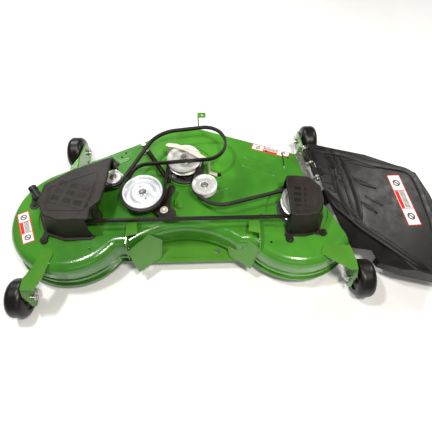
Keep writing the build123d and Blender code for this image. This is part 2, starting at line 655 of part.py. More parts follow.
def gauge_wheel(tag):
    x, y = WHEELS[tag]
    h = WHEEL_W / 2
    bore = AXLE_R + RUN
    r = WHEEL_R
    sk = face([(-h, bore), (-h, r, 24.0), (h, r, 24.0), (h, bore)])
    body = revolve(sk, Axis.X, 360)
    for s in (1, -1):
        body -= Pos(s * h, 0, 0) * Rot(0, 90, 0) * (Cylinder(44, 12) - Cylinder(20, 14))
    return Pos(x, y, r) * body


def toward(tag):
    return 1 if PLATE_X[tag] > WHEELS[tag][0] else -1


def axle_bolts():
    out = []
    for tag in WHEELS:
        s = toward(tag)
        wx, wy = WHEELS[tag]
        px = PLATE_X[tag]
        outer = px + s * (PLATE_T / 2)
        far = wx - s * (WHEEL_W / 2)
        lo, hi = sorted((outer + s * 14, far - s * 1.0))
        bolt = along_x(lo, hi, wy, WHEEL_R, AXLE_R)
        lo, hi = sorted((far - s * 1.0, far - s * 7.0))
        bolt += along_x(lo, hi, wy, WHEEL_R, 15.0)
        lo, hi = sorted((outer, outer + s * 8.0))
        bolt += along_x(lo, hi, wy, WHEEL_R, 13.0)
        lo, hi = sorted((px - s * PLATE_T / 2, wx + s * (WHEEL_W / 2 + 0.6)))
        bolt += along_x(lo, hi, wy, WHEEL_R, 12.0)
        bolt -= Pos(outer + s * 11, wy, WHEEL_R) * Cylinder(1.7, 40)
        out.append(bolt.solids()[0])
    return Compound(children=out)


def hairpin_clips():
    out = []
    for tag in WHEELS:
        s = toward(tag)
        wy = WHEELS[tag][1]
        x = PLATE_X[tag] + s * (PLATE_T / 2 + 11)
        leg = Pos(x, wy, WHEEL_R + 2) * Cylinder(1.5, 36)
        top = Pos(x, wy + 7, WHEEL_R + 20) * Rot(90, 0, 0) * Cylinder(1.5, 17)
        far = Pos(x, wy + 14, WHEEL_R + 8) * Cylinder(1.5, 26)
        clip = leg + top + far
        clip += Pos(x, wy, WHEEL_R + 20) * Sphere(1.5) + Pos(x, wy + 14, WHEEL_R + 20) * Sphere(1.5)
        out.append(clip.solids()[0])
    return Compound(children=out)


def front_hanger(mass):
    x = 55.0
    leg = extrude(Plane.YZ.offset(x - 2.5) * make_face(Polyline(
        (440.0, 120.0), (440.0, 251.0), (468.0, 251.0), (474.0, 120.0), close=True)), 5)
    tab = slab([(x - 2.5, 440.0), (x + 34.0, 440.0), (x + 34.0, 466.0), (x - 2.5, 468.0)], 247, 251, 0)
    tab -= post(x + 18, 453, 240, 260, 5.0)
    body = leg + tab - mass
    return body.solids().sort_by(SortBy.VOLUME)[-1]


GUARD_POSTS = [(-70.0, 273.0), (99.0, 187.0)]
GUARD_FOOT = (142.0, 172.0)


def center_guard():
    pts = [(-78.0, 268.0), (-68.0, 281.0), (-30.0, 276.0), (20.0, 252.0), (72.0, 216.0), (107.0, 190.0), (96.0, 177.0),
           (60.0, 200.0), (10.0, 236.0), (-36.0, 258.0), (-66.0, 262.0)]
    guard = slab(pts, 264, 266.5, 3.5)
    for x, y in GUARD_POSTS:
        guard += post(x, y, TOP_Z, 264, 5.5)
    guard += post(*GUARD_POSTS[0], TOP_Z, TOP_Z + 4, 10.0)
    (x0, y0), (x1, y1) = GUARD_POSTS[1], GUARD_FOOT
    turn = math.degrees(math.atan2(y1 - y0, x1 - x0))
    bar = Box(math.hypot(x1 - x0, y1 - y0), 14, 5, align=(Align.MIN, Align.CENTER, Align.MIN))
    guard += Pos(x0, y0, TOP_Z) * Rot(0, 0, turn) * bar + post(x1, y1, TOP_Z, TOP_Z + 5, 9.0)
    return guard - post(x1, y1, TOP_Z - 1, TOP_Z + 9, 4.1)


def guard_bolt():
    x, y = GUARD_FOOT
    return post(x, y, TOP_Z, TOP_Z + 7, 4.0) + post(x, y, TOP_Z + 5, TOP_Z + 6.5, 9.0) + hexagon(
        x, y, TOP_Z + 6.5, TOP_Z + 12.5, 13.0)


def idler_stop():
    base = slab([(-34.0, 18.0), (-6.0, 18.0), (-6.0, 46.0), (-34.0, 46.0)], TOP_Z, TOP_Z + 3, 3)
    wall = slab([(-34.0, 18.0), (-31.0, 18.0), (-31.0, 46.0), (-34.0, 46.0)], TOP_Z, TOP_Z + 26)
    return base + wall


def wash_port():
    x, y = -596.0, 46.0
    washer = tube(x, y, TOP_Z, TOP_Z + 3, 18.0, 8.2)
    body = post(x, y + 34, TOP_Z, TOP_Z + 22, 12.0) + slab([(x - 16, y + 14), (x + 16, y + 14), (x + 16, y + 50), (x - 16, y + 50)],
                                                     TOP_Z, TOP_Z + 3, 4)
    barrel = Cylinder(15, 58, align=(Align.CENTER, Align.CENTER, Align.MIN)) + Pos(0, 0, 40) * Cylinder(
        17, 18, align=(Align.CENTER, Align.CENTER, Align.MIN))
    barrel -= Pos(0, 0, 30) * Cylinder(9, 40, align=(Align.CENTER, Align.CENTER, Align.MIN))
    body += Pos(x + 22, y + 22, TOP_Z + 20) * Rot(0, 0, 128) * Rot(0, 80, 0) * barrel
    body += washer
    return body.solids().sort_by(SortBy.VOLUME)[-1]


# ---------------------------------------------------------------- chute and hinge
def hinge_frame():
    a = Vector(*HINGE_FROM)
    b = Vector(*HINGE_TO)
    u = (b - a).normalized()
    return a, u, (b - a).length


def on_hinge(s0, s1, r, bore=0.0):
    a, u, _ = hinge_frame()
    base = Plane(origin=a + u * s0, z_dir=u)
    body = extrude(base * Circle(r), s1 - s0)
    if bore:
        body -= extrude(Plane(origin=a + u * (s0 - 1), z_dir=u) * Circle(bore), s1 - s0 + 2)
    return body


SLEEVES = [(14.0, 76.0), (117.0, 150.0)]
LUGS = [(4.0, 10.0), (80.0, 88.0), (154.0, 162.0)]
SPRING_AT = (90.0, 115.0)
CHUTE = [(532.0, 322.0), (784.0, 282.0), (926.0, 234.0), (1000.0, 202.0), (1030.0, 90.0), (1046.0, -60.0), (1040.0, -180.0),
         (985.0, -288.0), (822.0, -246.0), (745.0, -208.0), (722.0, -160.0), (655.0, -136.0), (568.0, 70.0), (562.0, 108.0)]
CHUTE_WALL = 4.0


def below(point, slope_dir, slope, drop):
    """Huge slab of space under a tilted plane through point."""
    n = Vector(-slope_dir[0] * slope, -slope_dir[1] * slope, 1).normalized()
    pl = Plane(origin=Vector(*point) - n * drop, z_dir=n)
    return extrude(pl * Rectangle(5000, 5000), -900)


def chute_mass(points, z0, drop):
    body = slab(points, z0, 260)
    body &= below((548.0, 200.0, 196.0), (1, 0), -0.15, drop)
    body &= below((556.0, 100.0, 195.0), (-0.682, -0.731), -0.86, drop)
    return body


def chute_deflector():
    outer = chute_mass(CHUTE, 74.0, 0)
    pts = [(p[0], p[1]) for p in CHUTE]
    sk = offset(face(pts), amount=-CHUTE_WALL, kind=Kind.INTERSECTION)
    inner = extrude(Pos(0, 0, 40) * sk, 220)
    openside = slab([(520.0, 316.0), (600.0, 304.0), (640.0, -120.0), (560.0, 60.0), (520.0, 100.0)], 40, 260)
    openside2 = slab([(540.0, 70.0), (640.0, 60.0), (748.0, -190.0), (640.0, -160.0)], 40, 260)
    hollow = inner + openside + openside2
    hollow &= below((548.0, 200.0, 196.0), (1, 0), -0.15, CHUTE_WALL)
    hollow &= below((556.0, 100.0, 195.0), (-0.682, -0.731), -0.86, CHUTE_WALL)
    body = outer - hollow
    body = body.solids().sort_by(SortBy.VOLUME)[-1]
    a, u, length = hinge_frame()
    side = Vector(-u.Y, u.X, 0)
    if side.X < 0:
        side = side * -1
    for s0, s1 in SLEEVES:
        body += on_hinge(s0, s1, 12.0)
        web = Plane(origin=a + u * s0 + side * 16 + Vector(0, 0, -4.5), x_dir=side, z_dir=u)
        body += extrude(web * Rectangle(32, 6), s1 - s0)
    body -= on_hinge(-30, length + 60, ROD_R + RUN)
    for s0, s1 in LUGS + [SPRING_AT]:
        body -= on_hinge(s0 - 2, s1 + 2, 13.5)
    body -= on_hinge(-40, 6, 13.5)
    for x, y, w, h in ((612, 236, 70, 44), (622, 178, 64, 40), (634, 122, 58, 38)):
        rim = slab([(x - w / 2, y + h / 2), (x + w / 2, y + h / 2 - 10), (x + w / 2 - 8, y - h / 2)], 150, 215, 4)
        rim -= slab([(x - w / 2 + 12, y + h / 2 - 6), (x + w / 2 - 6, y + h / 2 - 14), (x + w / 2 - 11, y - h / 2 + 12)], 140, 220)
        rim &= below((548.0, 200.0, 196.0), (1, 0), -0.15, -3.0)
        rim -= below((548.0, 200.0, 196.0), (1, 0), -0.15, 1.0)
        body += rim
    ribs = [((642.0, 300.0), (672.0, -56.0)), ((690.0, 160.0), (760.0, 120.0)), ((735.0, 60.0), (800.0, 20.0))]
    for (x0, y0), (x1, y1) in ribs:
        length2 = math.hypot(x1 - x0, y1 - y0)
        turn = math.degrees(math.atan2(y1 - y0, x1 - x0))
        bar = Pos((x0 + x1) / 2, (y0 + y1) / 2, 180) * Rot(0, 0, turn) * Box(length2, 7, 120)
        bar &= below((548.0, 200.0, 196.0), (1, 0), -0.15, -3.0)
        bar &= below((556.0, 100.0, 195.0), (-0.682, -0.731), -0.86, -1.5)
        bar -= below((548.0, 200.0, 196.0), (1, 0), -0.15, 1.0)
        bar &= slab(CHUTE, 60, 250)
        body += bar
    return body.solids().sort_by(SortBy.VOLUME)[-1]


def hinge_bracket():
    a, u, _ = hinge_frame()
    side = Vector(-u.Y, u.X, 0)
    if side.X > 0:
        side = side * -1
    top = TOP_Z
    strip = [a + u * 10 + side * 44, a + u * 150 + side * 44, a + u * 178 + side * 20, a + u * 178 + side * 15,
             a + u * 4 + side * 15, a + u * 4 + side * 26]
    plate = slab([(p.X, p.Y) for p in strip], top, top + 4)
    for s0, s1 in LUGS:
        lug = on_hinge(s0, s1, 11.0)
        drop = top - HINGE_FROM[2]
        profile = [(0, 10.9), (22, drop + 4), (34, drop + 4), (34, drop), (14, drop), (0, -10.9)]
        corners = [a + u * s0 + side * d + Vector(0, 0, h) for d, h in profile]
        web = extrude(make_face(Polyline(*corners, close=True)), s1 - s0, dir=u)
        plate += lug
        plate += web
    plate -= on_hinge(-30, 260, ROD_R)
    for s in (34.0, 64.0, 122.0):
        p = a + u * s + side * 33
        plate -= post(p.X, p.Y, top - 5, top + 10, 4.5)
    plate &= slab([(400.0, 60.0), (640.0, 60.0), (640.0, 340.0), (400.0, 340.0)], top, top + 60)
    return plate.solids().sort_by(SortBy.VOLUME)[-1]


def hinge_rod():
    a, u, length = hinge_frame()
    end = LUGS[-1][1] + 12.0
    rod = on_hinge(-2, end, ROD_R)
    rod += on_hinge(-6, -2, 9.0)
    rod += on_hinge(end - 6, end, 9.0)
    return rod


def torsion_spring():
    a, u, _ = hinge_frame()
    coil = None
    turns = 7
    pitch = 3.4
    start = (SPRING_AT[0] + SPRING_AT[1] - pitch * (turns - 1)) / 2
    for k in range(turns):
        ring = Plane(origin=a + u * (start + k * pitch), z_dir=u) * Torus(8.4, 1.8)
        coil = ring if coil is None else coil + ring
    return coil


def group(shapes):
    return Compound(children=[s.solids()[0] for s in shapes])


def main():
    mass = deck_mass(0)
    save("deck_shell", deck_shell())
    lift_left = lift_bracket(mass, None)
    lift_right = lift_bracket(mass, LIFT_MIRROR_X)
    save("lift_bracket_left", lift_left)
    save("lift_bracket_right", lift_right)
    save("rear_center_plate", rear_center_plate(mass) - lift_left - lift_right)
    save("front_hanger", front_hanger(mass))
    for tag in WHEELS:
        save("wheel_bracket_" + tag, wheel_bracket(tag, mass))
        save("gauge_wheel_" + tag, gauge_wheel(tag))
    save("axle_bolts", axle_bolts())
    save("hairpin_clips", hairpin_clips())
    turns = {"left": 18.0, "center": 65.0, "right": 35.0}
    for tag, (x, y) in SPINDLES.items():
        save("spindle_housing_" + tag, housing(x, y))
        save("shaft_" + tag, shaft(x, y))
        save("sheave_" + tag, sheave(x, y))
        save("sheave_nut_" + tag, sheave_nut(x, y))
        save("blade_" + tag, blade(x, y, turns[tag]))
        save("blade_bolt_" + tag, blade_bolt(x, y))
    save("spindle_bearings", bearings())
    save("housing_bolts", housing_bolts())
    save("cover_left", cover_left())
    save("cover_right", cover_right())
    save("cover_screws", cover_screws())
    save("center_guard", center_guard())
    save("idler_big", idler_big(*IDLER_BIG))
    save("idler_small", idler_flanged(*IDLER_SMALL, IDLER_SMALL_R, True))
    save("idler_third", idler_flanged(*IDLER_THIRD, IDLER_THIRD_R, False))
    save("idler_big_bearing", bearing(*IDLER_BIG, BELT_Z - 6))
    save("idler_bearings", group([bearing(*IDLER_SMALL, BELT_Z - 6), bearing(*IDLER_THIRD, BELT_Z - 6)]))
    save("idler_posts", group([idler_post(*IDLER_SMALL, 0.0), idler_post(*IDLER_THIRD, 0.0)]))
    save("idler_big_bolt", idler_big_bolt())
    save("idler_arm", arm_plate())
    save("arm_pivot", arm_pivot())
    save("tension_spring", tension_spring())
    save("spring_anchor", spring_anchor())
    save("guard_bolt", guard_bolt())
    save("idler_stop", idler_stop())
    save("drive_belt", drive_belt())
    save("wash_port", wash_port())
    save("chute_deflector", chute_deflector())
    save("hinge_bracket", hinge_bracket())
    save("hinge_rod", hinge_rod())
    save("torsion_spring", torsion_spring())


main()
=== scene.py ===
import bpy
import math
from mathutils import Matrix, Vector


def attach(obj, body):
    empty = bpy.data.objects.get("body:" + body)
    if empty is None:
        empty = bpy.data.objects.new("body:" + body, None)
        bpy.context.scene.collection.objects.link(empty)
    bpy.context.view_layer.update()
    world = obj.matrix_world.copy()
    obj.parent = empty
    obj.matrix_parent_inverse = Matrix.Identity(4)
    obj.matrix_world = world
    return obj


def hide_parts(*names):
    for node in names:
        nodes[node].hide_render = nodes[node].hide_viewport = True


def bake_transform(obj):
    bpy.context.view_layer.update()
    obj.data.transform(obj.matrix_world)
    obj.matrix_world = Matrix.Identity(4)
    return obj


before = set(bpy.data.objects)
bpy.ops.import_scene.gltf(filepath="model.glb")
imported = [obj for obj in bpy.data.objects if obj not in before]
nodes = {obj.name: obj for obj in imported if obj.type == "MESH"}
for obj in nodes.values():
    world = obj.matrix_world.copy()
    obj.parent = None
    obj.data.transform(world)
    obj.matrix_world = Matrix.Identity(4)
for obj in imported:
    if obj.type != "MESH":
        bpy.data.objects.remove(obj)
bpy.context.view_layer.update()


# ---------------------------------------------------------------- shader helpers
LABEL_EDGE_RED = (0.62, 0.012, 0.008)
LABEL_RED = (0.60, 0.012, 0.008)
LABEL_PALE = (0.80, 0.79, 0.75)
LABEL_INK = (0.02, 0.02, 0.02)
LABEL_SIGN_INK = (0.05, 0.05, 0.05)
LABEL_EDGE = 0.0035     # width of the red edge, metres
LABEL_SEAM = 0.0015     # half the width of a red line between panels, metres
LABEL_LINES = 170.0     # dark bars per metre


class Tree:
    """Node tree of one material; soft is the radius in metres that its edges are rounded to."""

    def __init__(self, name, soft=0.0012):
        self.soft = soft
        self.form = None
        self.mat = bpy.data.materials.new(name)
        self.mat.use_nodes = True
        self.t = self.mat.node_tree
        self.t.nodes.clear()
        self.out = self.t.nodes.new("ShaderNodeOutputMaterial")
        self.bsdf = self.t.nodes.new("ShaderNodeBsdfPrincipled")
        self.t.links.new(self.bsdf.outputs[0], self.out.inputs[0])
        self.coord = self.t.nodes.new("ShaderNodeTexCoord").outputs["Object"]

    def put(self, socket, value):
        if hasattr(value, "is_linked"):
            self.t.links.new(value, socket)
        elif hasattr(socket.default_value, "__len__") and not hasattr(value, "__len__"):
            socket.default_value = (value,) * len(socket.default_value)
        elif hasattr(value, "__len__") and len(value) == 3 and len(socket.default_value) == 4:
            socket.default_value = (*value, 1)
        else:
            socket.default_value = value

    def set(self, **values):
        for key, value in values.items():
            self.put(self.bsdf.inputs[key.replace("_", " ")], value)

    def math(self, op, a, b=0.0):
        n = self.t.nodes.new("ShaderNodeMath")
        n.operation = op
        self.put(n.inputs[0], a)
        self.put(n.inputs[1], b)
        return n.outputs[0]

    def noise(self, scale, detail=3.0, rough=0.55, squeeze=None):
        place = self.coord
        if squeeze:
            m = self.t.nodes.new("ShaderNodeMapping")
            m.inputs["Scale"].default_value = squeeze
            self.put(m.inputs["Vector"], place)
            place = m.outputs[0]
        n = self.t.nodes.new("ShaderNodeTexNoise")
        n.inputs["Scale"].default_value = scale
        n.inputs["Detail"].default_value = detail
        n.inputs["Roughness"].default_value = rough
        self.put(n.inputs["Vector"], place)
        return n.outputs["Fac"]

    def span(self, v, lo, hi, a=0.0, b=1.0):
        n = self.t.nodes.new("ShaderNodeMapRange")
        self.put(n.inputs[0], v)
        for i, x in enumerate((lo, hi, a, b)):
            n.inputs[i + 1].default_value = x
        return n.outputs[0]

    def mix(self, fac, a, b):
        n = self.t.nodes.new("ShaderNodeMix")
        n.data_type = "RGBA"
        self.put(n.inputs[0], fac)
        self.put(n.inputs[6], a)
        self.put(n.inputs[7], b)
        return n.outputs[2]

    def vec(self, op, a, b=None, scale=None):
        n = self.t.nodes.new("ShaderNodeVectorMath")
        n.operation = op
        self.put(n.inputs[0], a)
        if b is not None:
            self.put(n.inputs[1], b)
        if scale is not None:
            self.put(n.inputs["Scale"], scale)
        return n.outputs["Value" if op in ("DOT_PRODUCT", "LENGTH") else "Vector"]

    def ridge(self, points, half, rise):
        """Height in metres of a rounded ridge along the points in plan; a negative rise is a groove."""
        flat = self.vec("MULTIPLY", self.coord, (1.0, 1.0, 0.0))
        near = None
        for p, q in zip(points, points[1:]):
            d = (q[0] - p[0], q[1] - p[1])
            long2 = d[0] * d[0] + d[1] * d[1]
            rel = self.vec("SUBTRACT", flat, (p[0], p[1], 0.0))
            t = self.span(self.vec("DOT_PRODUCT", rel, (d[0] / long2, d[1] / long2, 0.0)), 0.0, 1.0)
            off = self.vec("SUBTRACT", rel, self.vec("SCALE", (d[0], d[1], 0.0), scale=t))
            far = self.vec("LENGTH", off)
            near = far if near is None else self.math("MINIMUM", near, far)
        n = self.t.nodes.new("ShaderNodeMapRange")
        n.interpolation_type = "SMOOTHERSTEP"
        self.put(n.inputs[0], near)
        for i, x in enumerate((0.0, half, rise, 0.0)):
            n.inputs[i + 1].default_value = x
        return n.outputs[0]

    def relief(self, ridges):
        """Stamped or moulded form, read by bump() as the first layer."""
        total = self.ridge(*ridges[0])
        for r in ridges[1:]:
            total = self.math("ADD", total, self.ridge(*r))
        self.form = total

    def bump(self, height, strength, distance):
        edge = self.t.nodes.new("ShaderNodeBevel")
        edge.samples = 4
        edge.inputs["Radius"].default_value = self.soft
        normal = edge.outputs[0]
        if self.form is not None:
            big = self.t.nodes.new("ShaderNodeBump")
            big.inputs["Distance"].default_value = 1.0
            self.put(big.inputs["Height"], self.form)
            self.put(big.inputs["Normal"], normal)
            normal = big.outputs[0]
        n = self.t.nodes.new("ShaderNodeBump")
        n.inputs["Strength"].default_value = strength
        n.inputs["Distance"].default_value = distance
        self.put(n.inputs["Height"], height)
        self.put(n.inputs["Normal"], normal)
        self.put(self.bsdf.inputs["Normal"], n.outputs[0])

    def local(self, centre, along):
        """(u, v) in metres from centre, u along the plan direction given."""
        s = self.t.nodes.new("ShaderNodeSeparateXYZ")
        self.put(s.inputs[0], self.coord)
        d = math.hypot(*along)
        c, k = along[0] / d, along[1] / d
        x = self.math("SUBTRACT", s.outputs[0], centre[0])
        y = self.math("SUBTRACT", s.outputs[1], centre[1])
        u = self.math("ADD", self.math("MULTIPLY", x, c), self.math("MULTIPLY", y, k))
        v = self.math("SUBTRACT", self.math("MULTIPLY", y, c), self.math("MULTIPLY", x, k))
        return u, v, s.outputs[2]

    def distance(self, u, v):
        """Plan distance from the point that u and v are measured from."""
        return self.math("SQRT", self.math("ADD", self.math("MULTIPLY", u, u), self.math("MULTIPLY", v, v)))

    def within(self, v, half):
        return self.math("LESS_THAN", self.math("ABSOLUTE", v), half)

    def both(self, *fs):
        out = fs[0]
        for f in fs[1:]:
            out = self.math("MULTIPLY", out, f)
        return out

    def decal(self, base, rough, centre, along, length, width, z_min):
        """A blank safety-style label: red edge, pale panels, dark bars where writing would be."""
        u, v, z = self.local(centre, along)
        above = self.math("GREATER_THAN", z, z_min)
        whole = self.both(self.within(u, length / 2), self.within(v, width / 2), above)
        inner = self.both(self.within(u, length / 2 - LABEL_EDGE), self.within(v, width / 2 - LABEL_EDGE))
        col = self.mix(inner, LABEL_EDGE_RED, LABEL_PALE)
        band = self.both(self.within(u, length * 0.17),
                         self.within(self.math("ADD", v, width * 0.28), width * 0.13), inner)
        col = self.mix(band, col, LABEL_RED)
        rows = self.math("FRACT", self.math("MULTIPLY", u, LABEL_LINES))
        lines = self.both(self.math("LESS_THAN", rows, 0.55), self.within(u, length * 0.17),
                          self.within(self.math("SUBTRACT", v, width * 0.10), width * 0.20))
        col = self.mix(lines, col, LABEL_INK)
        for side in (-1, 1):
            du = self.math("SUBTRACT", u, side * length * 0.33)
            ring = self.distance(du, v)
            disc = self.both(self.within(ring, width * 0.27), self.math("GREATER_THAN", ring, width * 0.17))
            col = self.mix(disc, col, LABEL_SIGN_INK)
            bar = self.both(self.within(self.math("SUBTRACT", du, v), width * 0.07),
                            self.within(ring, width * 0.2))
            col = self.mix(bar, col, LABEL_SIGN_INK)
            seam = self.within(self.math("SUBTRACT", u, side * length * 0.18), LABEL_SEAM)
            col = self.mix(self.both(seam, inner), col, LABEL_RED)
        return self.mix(whole, base, col), self.math("ADD", rough, self.math("MULTIPLY", whole, 0.22))


def paint(name, dark, light, labels=(), ridges=()):
    """Glossy powder coat with slight orange peel, dust and drifting colour."""
    m = Tree(name)
    if ridges:
        m.relief(ridges)
    drift = m.noise(3.0, 4)
    col = m.mix(m.span(drift, 0.3, 0.7), dark, light)
    dust = m.span(m.noise(38.0, 6, 0.7), 0.56, 0.8, 0.0, 0.16)
    col = m.mix(dust, col, (0.06, 0.16, 0.04))
    rough = m.math("ADD", m.span(m.noise(14.0, 5), 0.3, 0.75, 0.13, 0.26), m.math("MULTIPLY", dust, 0.9))
    for lab in labels:
        col, rough = m.decal(col, rough, *lab)
    m.set(Base_Color=col, Roughness=rough, IOR=1.5, Coat_Weight=0.35, Coat_Roughness=0.06)
    peel = m.math("ADD", m.noise(260.0, 2), m.math("MULTIPLY", m.noise(9.0, 3), 2.5))
    m.bump(peel, 0.16, 0.0016)
    return m.mat


def plastic(name, dark, light, rough, grain, labels=(), marks=None, soft=0.0015, shine=0.5):
    """Moulded plastic with fine grain and scuffs; marks is a block of raised cells."""
    m = Tree(name, soft)
    col = m.mix(m.span(m.noise(7.0, 5), 0.35, 0.7), dark, light)
    scuff = m.span(m.noise(60.0, 6, 0.72, squeeze=(1.0, 0.35, 1.0)), 0.58, 0.82, 0.0, 0.35)
    col = m.mix(scuff, col, tuple(min(1, c * 2.4 + 0.03) for c in light))
    r = m.math("ADD", m.span(m.noise(22.0, 4), 0.3, 0.7, rough - 0.08, rough + 0.08),
               m.math("MULTIPLY", scuff, 0.2))
    height = m.noise(grain, 4, 0.6)
    if marks:
        u, v, z = m.local(*marks["at"])
        top = m.math("GREATER_THAN", z, marks["z"])
        rows = m.math("FRACT", m.math("ADD", m.math("MULTIPLY", u, marks["pitch"]), 0.2))
        cols = m.math("FRACT", m.math("ADD", m.math("MULTIPLY", v, marks["pitch2"]), 0.1))
        zone = m.both(m.within(u, marks["len"] / 2), m.within(v, marks["wid"] / 2), top)
        cell = m.both(m.math("LESS_THAN", rows, 0.62), m.math("LESS_THAN", cols, 0.7), zone)
        height = m.math("ADD", height, m.math("MULTIPLY", cell, marks["rise"]))
        col = m.mix(m.math("MULTIPLY", cell, 0.55), col, tuple(c * 0.35 for c in dark))
        r = m.math("SUBTRACT", r, m.math("MULTIPLY", cell, 0.12))
    for lab in labels:
        col, r = m.decal(col, r, *lab)
    m.set(Base_Color=col, Roughness=r, IOR=1.47, Specular_IOR_Level=shine)
    m.bump(height, 0.35, 0.0007)
    return m.mat


def metal(name, dark, light, rough, centre=None, brush=0.3, tint=None, metallic=1.0):
    """Plated or turned steel; centre gives rings turned about a vertical line."""
    m = Tree(name)
    col = m.mix(m.span(m.noise(11.0, 6, 0.65), 0.3, 0.72), dark, light)
    spots = m.span(m.noise(90.0, 5, 0.7), 0.6, 0.85, 0.0, 0.5)
    col = m.mix(spots, col, tint or tuple(c * 0.55 for c in dark))
    r = m.span(m.noise(30.0, 5), 0.3, 0.75, rough - 0.07, rough + 0.1)
    height = m.noise(320.0, 2)
    if centre:
        u, v, _ = m.local(centre, (1.0, 0.0))
        ring = m.distance(u, v)
        lines = m.math("SINE", m.math("MULTIPLY", ring, 2600.0))
        height = m.math("ADD", m.math("MULTIPLY", lines, 0.25), height)
        wide = m.math("SINE", m.math("MULTIPLY", ring, 300.0))
        col = m.mix(m.span(wide, -1.0, 1.0, 0.0, brush), col, tuple(c * 0.6 for c in dark))
    m.set(Base_Color=col, Metallic=metallic, Roughness=r)
    m.bump(height, 0.12, 0.0004)
    return m.mat


GREEN_DARK = (0.020, 0.120, 0.008)
GREEN_LIGHT = (0.070, 0.300, 0.022)

# centre and direction in plan, length, width, and the height above which the label shows, in metres
LEFT_LABEL = ((-0.608, -0.051), (0.055, -0.132), 0.143, 0.046, 0.140)
FRONT_LABEL = ((0.370, 0.307), (0.159, -0.057), 0.169, 0.033, 0.160)
CHUTE_LABEL = ((0.902, 0.058), (0.028, -0.247), 0.246, 0.060, 0.100)

# points in plan, half width and rise, in metres; a negative rise is a groove
DECK_RIDGES = [
    ([(0.133, 0.172), (0.212, 0.119), (0.290, 0.068)], 0.020, 0.0018),
    ([(-0.335, 0.225), (-0.247, 0.272)], 0.014, 0.0020),
    ([(0.262, 0.272), (0.359, 0.217)], 0.012, 0.0022),
    ([(0.250, 0.226), (0.363, 0.173)], 0.012, 0.0022),
    ([(0.137, 0.090), (0.167, 0.104)], 0.008, -0.0020),
]
# the same for the chute's ribs, which are swept and cannot cut: a negative rise stands up like the others
CHUTE_RIDGES = [
    ([(0.555, 0.293), (0.692, 0.272), (0.776, 0.238), (0.870, 0.222), (0.944, 0.215), (0.979, 0.194),
      (0.991, 0.123), (0.995, -0.024), (0.985, -0.160)], 0.016, 0.0060),
    ([(0.680, 0.240), (0.773, 0.224), (0.845, 0.213)], 0.010, 0.0030),
    ([(0.585, 0.050), (0.602, 0.024), (0.649, -0.027), (0.686, -0.070), (0.757, -0.137), (0.839, -0.206),
      (0.912, -0.259)], 0.017, 0.0085),
    ([(0.614, 0.252), (0.623, 0.204), (0.621, 0.108), (0.638, 0.012), (0.686, -0.070)], 0.013, 0.0050),
    ([(0.663, 0.252), (0.678, 0.202), (0.688, 0.144), (0.697, 0.040), (0.690, -0.063)], 0.013, 0.0055),
    ([(0.693, 0.145), (0.743, 0.122), (0.793, 0.102)], 0.010, 0.0050),
    ([(0.704, 0.037), (0.740, 0.008), (0.767, -0.020)], 0.011, 0.0055),
    ([(0.607, 0.257), (0.612, 0.177), (0.611, 0.070)], 0.006, -0.0040),
    ([(0.552, 0.274), (0.610, 0.264)], 0.006, 0.0038),
    ([(0.555, 0.217), (0.612, 0.191)], 0.006, 0.0038),
    ([(0.561, 0.170), (0.612, 0.158)], 0.006, 0.0038),
    ([(0.572, 0.119), (0.612, 0.107)], 0.006, 0.0038),
    ([(0.581, 0.092), (0.610, 0.067)], 0.006, 0.0038),
]

green = paint("deck_green", GREEN_DARK, GREEN_LIGHT, (LEFT_LABEL, FRONT_LABEL), DECK_RIDGES)
green_plain = paint("bracket_green", (0.036, 0.150, 0.010), (0.080, 0.275, 0.022))
tyre = plastic("gauge_wheel_black", (0.004, 0.0032, 0.0026), (0.009, 0.0072, 0.006), 0.36, 180.0, shine=0.4)
cover_l = plastic("cover_black_left", (0.012, 0.0095, 0.007), (0.026, 0.021, 0.016), 0.45, 420.0,
                  marks={"at": ((-0.405, 0.020), (0.30, 1.0)), "z": 0.288, "pitch": 30.0, "pitch2": 22.0,
                         "len": 0.11, "wid": 0.15, "rise": 3.0}, soft=0.005, shine=0.3)
cover_r = plastic("cover_black_right", (0.012, 0.0095, 0.007), (0.026, 0.021, 0.016), 0.45, 420.0,
                  marks={"at": ((0.440, 0.0), (0.1, 1.0)), "z": 0.280, "pitch": 38.0, "pitch2": 26.0,
                         "len": 0.10, "wid": 0.045, "rise": 3.0}, soft=0.005, shine=0.3)
chute = plastic("chute_black", (0.0050, 0.0040, 0.0032), (0.0095, 0.0078, 0.0062), 0.38, 520.0,
                (CHUTE_LABEL,), soft=0.006, shine=0.32)
black_part = plastic("moulded_black", (0.008, 0.008, 0.008), (0.02, 0.02, 0.02), 0.4, 300.0)
belt = plastic("belt_rubber", (0.006, 0.0042, 0.0038), (0.014, 0.0095, 0.008), 0.5, 700.0, shine=0.3)
zinc = metal("zinc", (0.50, 0.48, 0.43), (0.78, 0.76, 0.72), 0.30, tint=(0.34, 0.28, 0.16))
steel = metal("bright_steel", (0.55, 0.56, 0.57), (0.80, 0.81, 0.82), 0.22)
cream = metal("cream_guard", (0.62, 0.57, 0.47), (0.80, 0.76, 0.66), 0.42,
              tint=(0.40, 0.33, 0.22), metallic=0.35)
black_paint = metal("satin_black", (0.008, 0.005, 0.004), (0.020, 0.012, 0.010), 0.36, metallic=0.3)
dark_bolt = metal("dark_bolt", (0.03, 0.028, 0.025), (0.07, 0.065, 0.06), 0.35)
cast = metal("cast_housing", (0.03, 0.03, 0.03), (0.07, 0.07, 0.068), 0.5, metallic=0.4)
blade_steel = metal("blade_steel", (0.05, 0.05, 0.05), (0.11, 0.105, 0.10), 0.4, tint=(0.18, 0.09, 0.04))

# plan centres of the turned pulleys, in metres
CENTRES = {"sheave_left": (-0.445, 0.0), "sheave_center": (0.0, 0.212), "sheave_right": (0.445, 0.0),
           "idler_big": (-0.158, 0.057), "idler_small": (0.082, 0.081), "idler_third": (-0.280, 0.130)}


